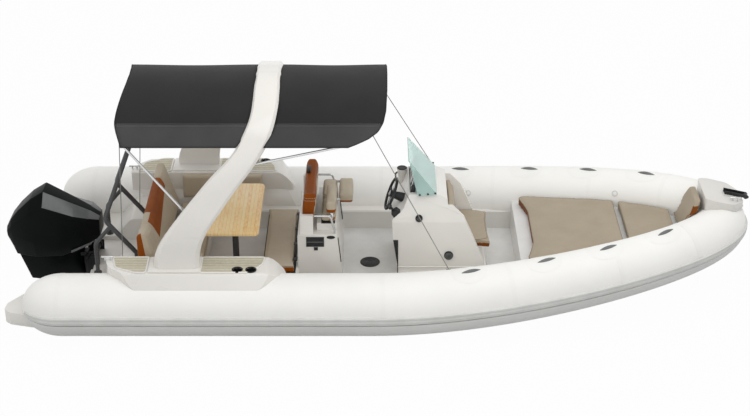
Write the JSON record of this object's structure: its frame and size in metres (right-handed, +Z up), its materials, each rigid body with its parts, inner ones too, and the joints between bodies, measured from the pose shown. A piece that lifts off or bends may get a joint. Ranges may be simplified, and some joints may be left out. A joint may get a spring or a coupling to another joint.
{
  "type": "rigid inflatable boat",
  "caption": "Rigid inflatable boat with a deep-V hull, inflatable collar, sunshade arch, helm console, lounge with table, tow mast and a tilting outboard.",
  "frame": {"origin": "amidships on the centre plane at the waterline", "axes": "+X towards the bow, +Y to port, +Z up"},
  "size_m": [7.682, 2.9658, 3.1214],
  "materials": {
    "collar": "satin coated fabric",
    "strake": "satin",
    "gelcoat": "gloss",
    "liner": "satin non-slip",
    "teak": "matt grooved",
    "fittings": "matt black",
    "canopy": "woven",
    "steel": "polished",
    "mast": "satin dark grey",
    "strap": "webbing",
    "upholstery": "grained",
    "cognac": "grained",
    "table": "varnished",
    "screen": "tinted clear",
    "dash": "matt",
    "engine": "gloss black",
    "drive": "gloss dark",
    "propeller": "polished"
  },
  "bodies": {
    "root": {"tube_port": "collar", "tube_starboard": "collar", "rub_strake": "strake", "tube_handles": "strake", "hull": "gelcoat", "deck_liner": "liner", "splash_well": "gelcoat", "swim_platforms": "gelcoat", "side_deck_port": "gelcoat", "side_deck_starboard": "gelcoat", "teak_pads": "teak", "deck_fittings": "fittings", "arch": "gelcoat", "canopy_fore": "canopy", "canopy_aft": "canopy", "canopy_hoop_fore": "steel", "canopy_hoop_aft": "steel", "stays_fore": "strap", "stays_aft": "strap", "lounge_base": "gelcoat", "lounge_cushions": "upholstery", "aft_backrest": "upholstery", "side_backrests": "upholstery", "pedestal_base": "mast", "leaning_post": "gelcoat", "helm_backrest": "cognac", "helm_seat": "upholstery", "galley_fittings": "fittings", "post_rails": "steel", "console": "gelcoat", "dash_panel": "dash", "console_fittings": "dash", "windscreen": "screen", "throttle_lever": "dash", "console_seat": "upholstery", "bow_cushion_aft": "upholstery", "bow_cushion_fore": "upholstery", "bow_backrest": "upholstery", "nose_piece": "gelcoat", "anchor_roller": "steel", "clamp_bracket": "drive"},
    "swivel": {"swivel_bracket": "drive"},
    "outboard": {"cowl": "engine", "midsection": "drive"},
    "propeller": {"propeller": "propeller"},
    "helm_wheel": {"steering_wheel": "dash"},
    "tow_mast": {"tow_mast": "mast"},
    "table": {"table_top": "table", "table_pedestal": "steel"},
    "bench_lid": {"forward_bench": "upholstery"},
    "bolster_port": {"bolster_port": "upholstery"},
    "bolster_starboard": {"bolster_starboard": "upholstery"}
  },
  "joints": [
    {"name": "engine_tilt", "type": "hinge", "parent": "root", "child": "swivel", "pos_m": [-2.915, 0, 0.29], "axis": [0, 1, 0], "range_deg": [0, 62]},
    {"name": "engine_steer", "type": "hinge", "parent": "swivel", "child": "outboard", "pos_m": [-3.03, 0, 0], "axis": [0, 0, 1], "range_deg": [-30, 30]},
    {"name": "propeller_spin", "type": "hinge", "parent": "outboard", "child": "propeller", "pos_m": [-3.38, 0, -0.57], "axis": [1, 0, 0], "continuous": true},
    {"name": "helm_wheel_turn", "type": "hinge", "parent": "root", "child": "helm_wheel", "pos_m": [0.165, -0.13, 1.02], "axis": [-0.9336, 0, 0.3584], "range_deg": [-640, 640]},
    {"name": "tow_mast_lift", "type": "slide", "parent": "root", "child": "tow_mast", "axis": [-0.5, 0, 0.866], "range_m": [0, 0.95]},
    {"name": "table_lower", "type": "slide", "parent": "root", "child": "table", "axis": [0, 0, -1], "range_m": [0, 0.27]},
    {"name": "bench_lid_open", "type": "hinge", "parent": "root", "child": "bench_lid", "pos_m": [-0.8, 0, 0.45], "axis": [0, 1, 0], "range_deg": [0, 75]},
    {"name": "bolster_port_flip", "type": "hinge", "parent": "root", "child": "bolster_port", "pos_m": [-0.4375, 0, 0.8725], "axis": [0, -1, 0], "range_deg": [0, 90]},
    {"name": "bolster_starboard_flip", "type": "hinge", "parent": "root", "child": "bolster_starboard", "pos_m": [-0.4375, 0, 0.8725], "axis": [0, 1, 0], "range_deg": [0, 90]}
  ],
  "couplings": [
    {"joint": "helm_wheel_turn", "follows": "engine_steer", "ratio": -21}
  ]
}
